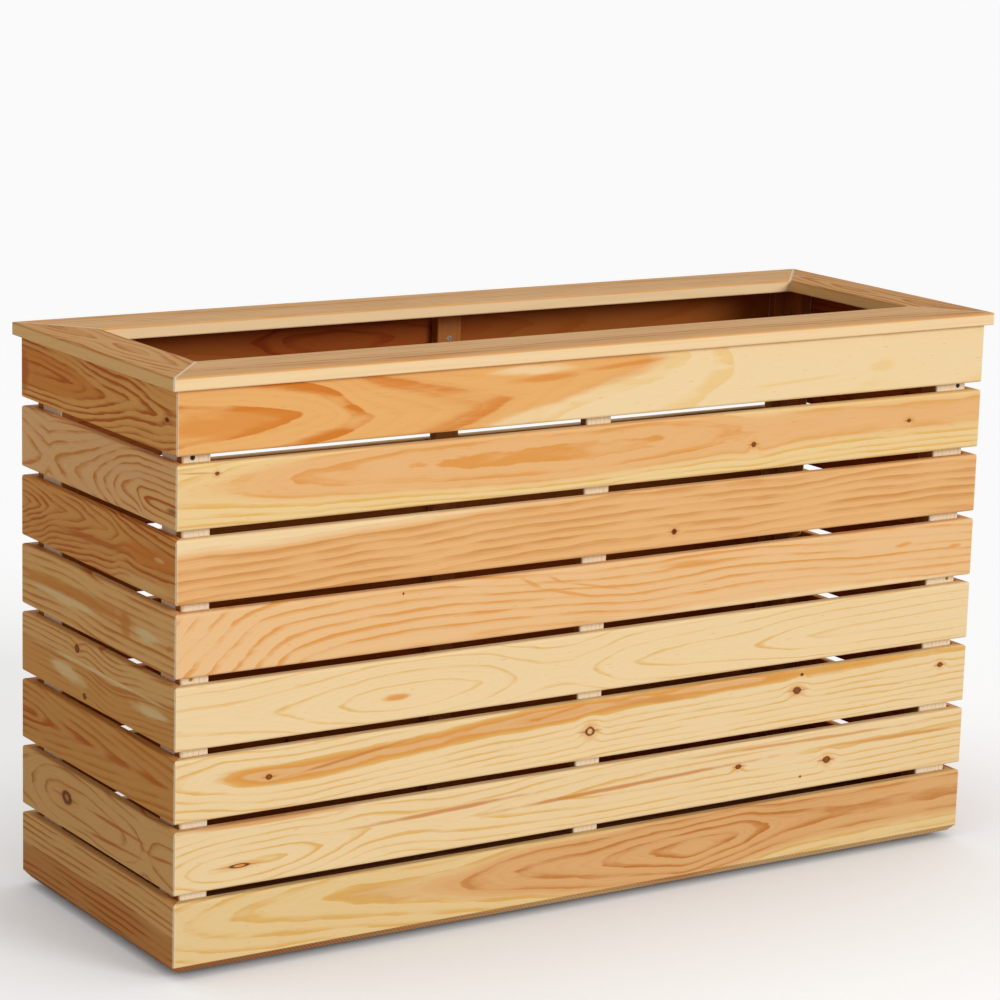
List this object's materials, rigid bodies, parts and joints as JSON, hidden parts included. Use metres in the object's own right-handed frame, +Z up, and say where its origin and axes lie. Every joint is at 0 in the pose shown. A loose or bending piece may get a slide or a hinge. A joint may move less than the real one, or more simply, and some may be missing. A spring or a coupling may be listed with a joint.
{
  "type": "wooden planter box",
  "caption": "Slatted wooden box planter: mitred horizontal slats on inner stiles, a flat mitred cap frame round the open top, and a boarded floor on skids that carries the soil.",
  "frame": {"origin": "on the ground, under the middle of the box", "axes": "+X along the box to the right as seen from the front, +Y from front to back, +Z up"},
  "size_m": [1.116, 0.4, 0.6658],
  "materials": {
    "slat_wood": "planed pine, clear satin oil",
    "end_slat_wood": "planed pine, clear satin oil",
    "cap_wood": "planed pine, clear satin oil",
    "stile_wood": "planed pale pine, untreated",
    "floor_wood": "sawn pine, untreated",
    "zinc_screw": "bright zinc plate",
    "black_screw": "black phosphate, matt",
    "yellow_screw": "yellow zinc plate"
  },
  "bodies": {
    "root": {"front_slat_1": "slat_wood", "front_slat_2": "slat_wood", "front_slat_3": "slat_wood", "front_slat_4": "slat_wood", "front_slat_5": "slat_wood", "front_slat_6": "slat_wood", "front_slat_7": "slat_wood", "front_slat_8": "slat_wood", "back_slat_1": "slat_wood", "back_slat_2": "slat_wood", "back_slat_3": "slat_wood", "back_slat_4": "slat_wood", "back_slat_5": "slat_wood", "back_slat_6": "slat_wood", "back_slat_7": "slat_wood", "back_slat_8": "slat_wood", "left_slat_1": "end_slat_wood", "left_slat_2": "end_slat_wood", "left_slat_3": "end_slat_wood", "left_slat_4": "end_slat_wood", "left_slat_5": "end_slat_wood", "left_slat_6": "end_slat_wood", "left_slat_7": "end_slat_wood", "left_slat_8": "end_slat_wood", "right_slat_1": "end_slat_wood", "right_slat_2": "end_slat_wood", "right_slat_3": "end_slat_wood", "right_slat_4": "end_slat_wood", "right_slat_5": "end_slat_wood", "right_slat_6": "end_slat_wood", "right_slat_7": "end_slat_wood", "right_slat_8": "end_slat_wood", "cap_front": "cap_wood", "cap_back": "cap_wood", "cap_left": "cap_wood", "cap_right": "cap_wood", "front_stile_left": "stile_wood", "front_stile_middle": "stile_wood", "front_stile_right": "stile_wood", "back_stile_left": "stile_wood", "back_stile_middle": "stile_wood", "back_stile_right": "stile_wood", "left_stile_front": "stile_wood", "left_stile_back": "stile_wood", "right_stile_front": "stile_wood", "right_stile_back": "stile_wood", "floor_board_1": "floor_wood", "floor_board_2": "floor_wood", "floor_board_3": "floor_wood", "floor_board_4": "floor_wood", "floor_board_5": "floor_wood", "skid_left": "floor_wood", "skid_middle": "floor_wood", "skid_right": "floor_wood", "slat_screws": "zinc_screw", "upper_corner_screws": "black_screw", "middle_corner_screws": "yellow_screw", "cap_nails": "zinc_screw", "floor_screws": "zinc_screw"}
  },
  "joints": []
}
